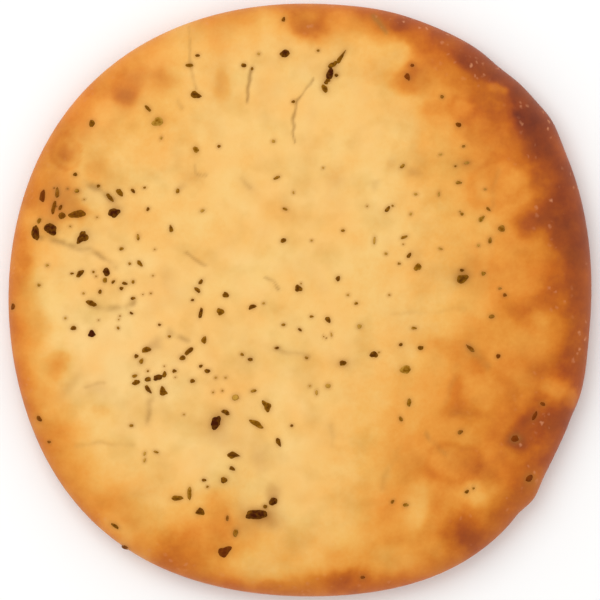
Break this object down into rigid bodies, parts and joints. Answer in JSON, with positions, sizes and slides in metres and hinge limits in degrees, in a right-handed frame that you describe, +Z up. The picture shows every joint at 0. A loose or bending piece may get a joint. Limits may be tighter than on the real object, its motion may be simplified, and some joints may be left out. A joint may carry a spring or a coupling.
{
  "type": "focaccia",
  "caption": "Round, low pan focaccia: one smooth toasted loaf with soft corners and a flat base, and broken dried herb leaves scattered on its crust.",
  "frame": {"origin": "middle of the loaf's flat base, on the surface it rests on", "axes": "+Z up out of the crust; +Y along the slightly longer way across the loaf; +X to the right"},
  "size_m": [0.177, 0.18, 0.0178],
  "materials": {
    "crust": "satin",
    "herb": "matte"
  },
  "bodies": {
    "root": {"loaf": "crust", "leaf_east_1": "herb", "leaf_east_inner_1": "herb", "leaf_east_lower_1": "herb", "leaf_east_upper_1": "herb", "leaf_east_upper_2": "herb", "leaf_left_inner_1": "herb", "leaf_left_inner_2": "herb", "leaf_left_lower_1": "herb", "leaf_left_middle_1": "herb", "leaf_left_upper_1": "herb", "leaf_left_upper_2": "herb", "leaf_lower_right_1": "herb", "leaf_middle_1": "herb", "leaf_middle_2": "herb", "leaf_middle_left_1": "herb", "leaf_middle_left_2": "herb", "leaf_middle_left_3": "herb", "leaf_middle_left_4": "herb", "leaf_middle_right_1": "herb", "leaf_middle_right_2": "herb", "leaf_north_1": "herb", "leaf_north_left_1": "herb", "leaf_north_left_2": "herb", "leaf_north_right_1": "herb", "leaf_north_sprig_1": "herb", "leaf_north_sprig_2": "herb", "leaf_north_sprig_3": "herb", "leaf_south_1": "herb", "leaf_south_2": "herb", "leaf_south_dark_1": "herb", "leaf_south_dark_2": "herb", "leaf_south_east_1": "herb", "leaf_south_east_2": "herb", "leaf_south_left_1": "herb", "leaf_south_left_2": "herb", "leaf_south_left_3": "herb", "leaf_south_middle_1": "herb", "leaf_south_middle_2": "herb", "leaf_south_middle_3": "herb", "leaf_south_rim_1": "herb", "leaf_south_wedge_1": "herb", "leaf_south_west_1": "herb", "leaf_south_west_2": "herb", "leaf_south_west_3": "herb", "leaf_south_west_4": "herb", "leaf_south_west_upper_1": "herb", "leaf_south_west_upper_2": "herb", "leaf_upper_left_1": "herb", "leaf_upper_left_2": "herb", "leaf_upper_middle_1": "herb", "leaf_west_fork_1": "herb", "leaf_west_fork_2": "herb", "leaf_west_fork_3": "herb", "leaf_west_rim_1": "herb", "leaf_west_rim_2": "herb", "leaf_west_rim_3": "herb", "leaf_west_rim_4": "herb", "leaf_west_rim_5": "herb", "leaf_west_rim_6": "herb"}
  },
  "joints": []
}
